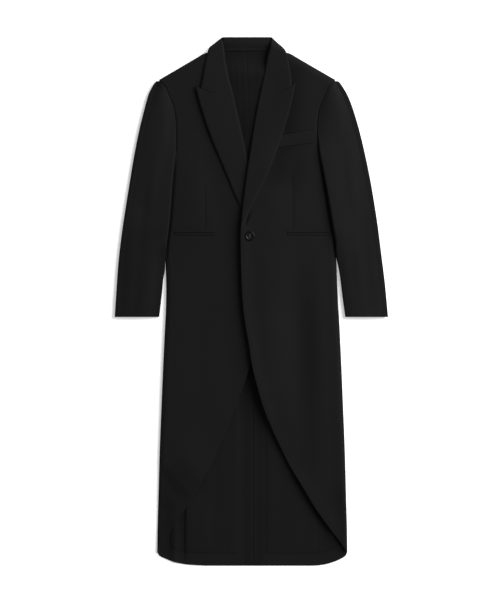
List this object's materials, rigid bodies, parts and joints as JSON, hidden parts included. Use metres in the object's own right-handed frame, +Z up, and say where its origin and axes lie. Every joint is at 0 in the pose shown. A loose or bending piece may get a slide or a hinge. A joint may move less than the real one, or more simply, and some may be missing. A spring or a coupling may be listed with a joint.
{
  "type": "tailored coat",
  "caption": "Long black tailored tailcoat laid flat, with peak lapels, a one-button front cut away in a long curve to the hem, set-in sleeves and welted pockets.",
  "frame": {"origin": "centre of the coat's bounding box on the surface that it lies on", "axes": "+Y from the hem to the collar, +X to the wearer's left, +Z up from the surface, out of the coat's front"},
  "size_m": [0.716, 1.384, 0.0342],
  "materials": {
    "wool": "fine black wool twill, matt with a faint nap",
    "lining": "black satin-weave lining, low sheen",
    "button": "polished black horn-like resin"
  },
  "bodies": {
    "root": {"back_left": "wool", "back_right": "wool", "side_left": "wool", "side_right": "wool", "front_left": "wool", "front_right": "wool", "back_lining_left": "lining", "back_lining_right": "lining", "sleeve_top_left": "wool", "sleeve_top_right": "wool", "sleeve_under_left": "wool", "sleeve_under_right": "wool", "lapel_left": "wool", "lapel_right": "wool", "collar_fall": "wool", "collar_stand": "wool", "chest_welt": "wool", "pocket_lip_upper_left": "wool", "pocket_lip_lower_left": "wool", "pocket_lip_upper_right": "wool", "pocket_lip_lower_right": "wool", "front_button": "button"}
  },
  "joints": []
}
